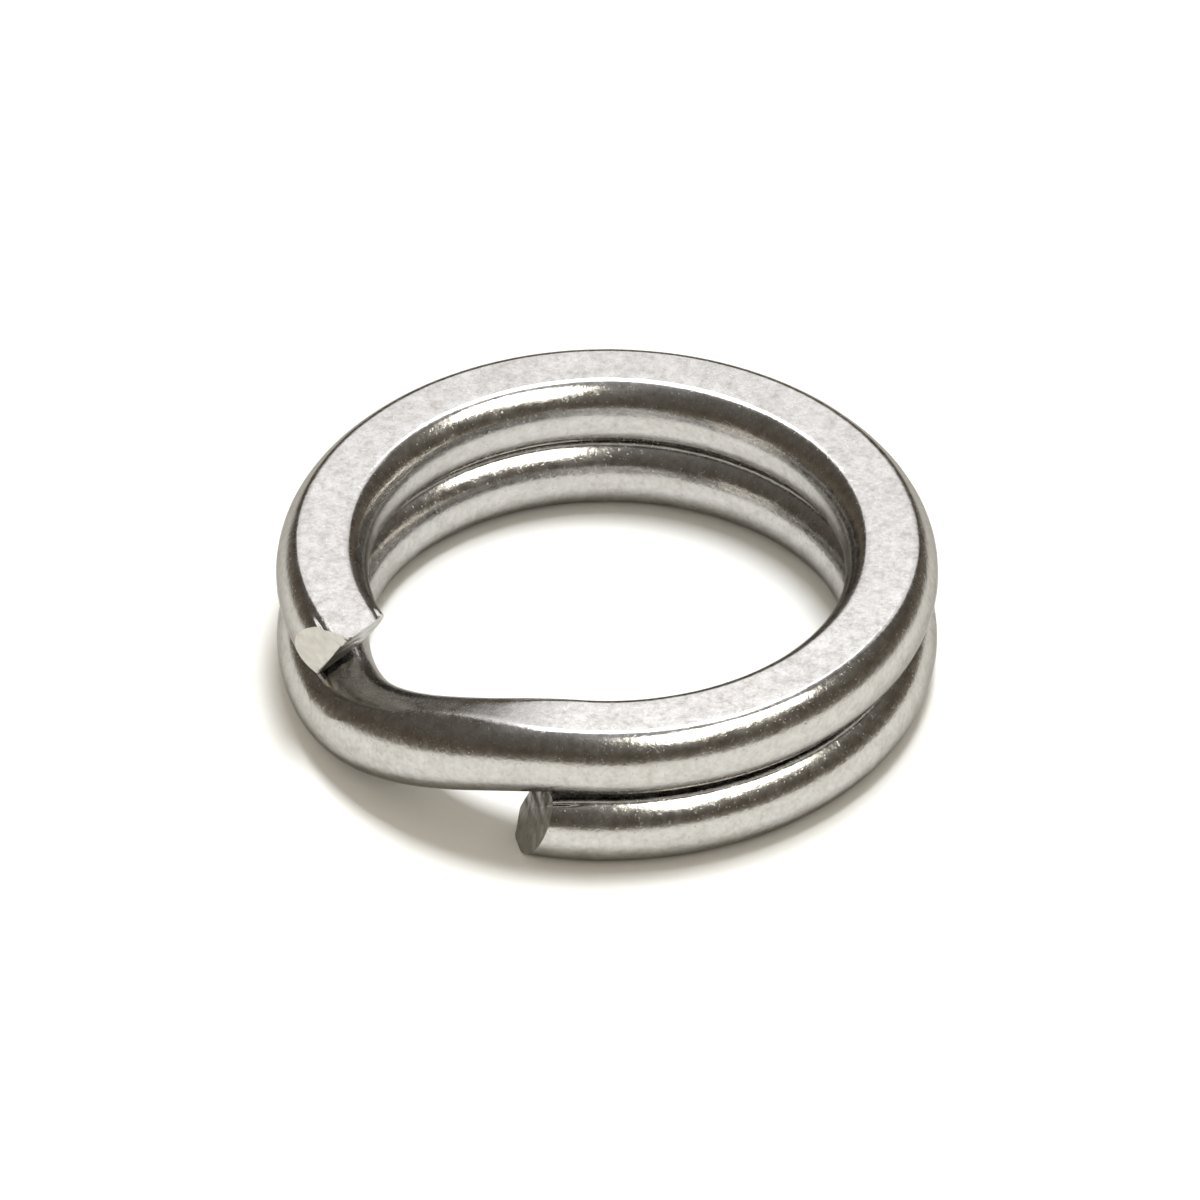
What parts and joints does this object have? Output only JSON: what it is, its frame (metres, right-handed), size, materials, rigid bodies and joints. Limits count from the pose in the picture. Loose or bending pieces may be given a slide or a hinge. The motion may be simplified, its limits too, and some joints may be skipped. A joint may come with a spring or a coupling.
{
  "type": "split key ring",
  "caption": "Split key ring of heavy ground spring wire: overlapping turns joined by a crossover, with pinch-cut free ends that spring apart to take a key.",
  "frame": {"origin": "centre of the ring's outline, on the plane of the lower turn's ground face, which it rests on", "axes": "+Z along the ring's axis, up through the eye; -Y is the front, where the crossover ends and the lower turn's free end lies under it; +X is to the right seen from the front"},
  "size_m": [0.015, 0.015, 0.0037],
  "materials": {
    "wire": "tumbled stainless spring wire with fine pits and ground flat faces",
    "cut_wire": "tumbled stainless spring wire that ends in a bare pinch cut"
  },
  "bodies": {
    "crossover": {"crossover": "wire", "upper_coil_front": "wire", "upper_coil_front_right": "wire", "upper_coil_right": "wire", "lower_coil_left": "wire", "lower_coil_back_left": "wire", "lower_coil_back": "wire"},
    "upper_end": {"upper_coil_back_right": "wire", "upper_coil_back": "wire", "upper_coil_back_left": "wire", "upper_coil_left": "wire", "upper_tip": "cut_wire"},
    "lower_end": {"lower_coil_back_right": "wire", "lower_coil_right": "wire", "lower_coil_front_right": "wire", "lower_coil_front": "wire", "lower_tip": "cut_wire"}
  },
  "joints": [
    {"name": "upper_end_lift", "type": "hinge", "parent": "crossover", "child": "upper_end", "pos_m": [0.00596, 0.00247, 0.00272], "axis": [-0.3827, 0.9238, -0.0093], "range_deg": [0, 7.1], "stiffness_Nm_per_rad": 7.7},
    {"name": "lower_end_drop", "type": "hinge", "parent": "crossover", "child": "lower_end", "pos_m": [0.00247, 0.00596, 0.00088], "axis": [0.9239, -0.3827, 0], "range_deg": [0, 7.1], "stiffness_Nm_per_rad": 7.7}
  ]
}
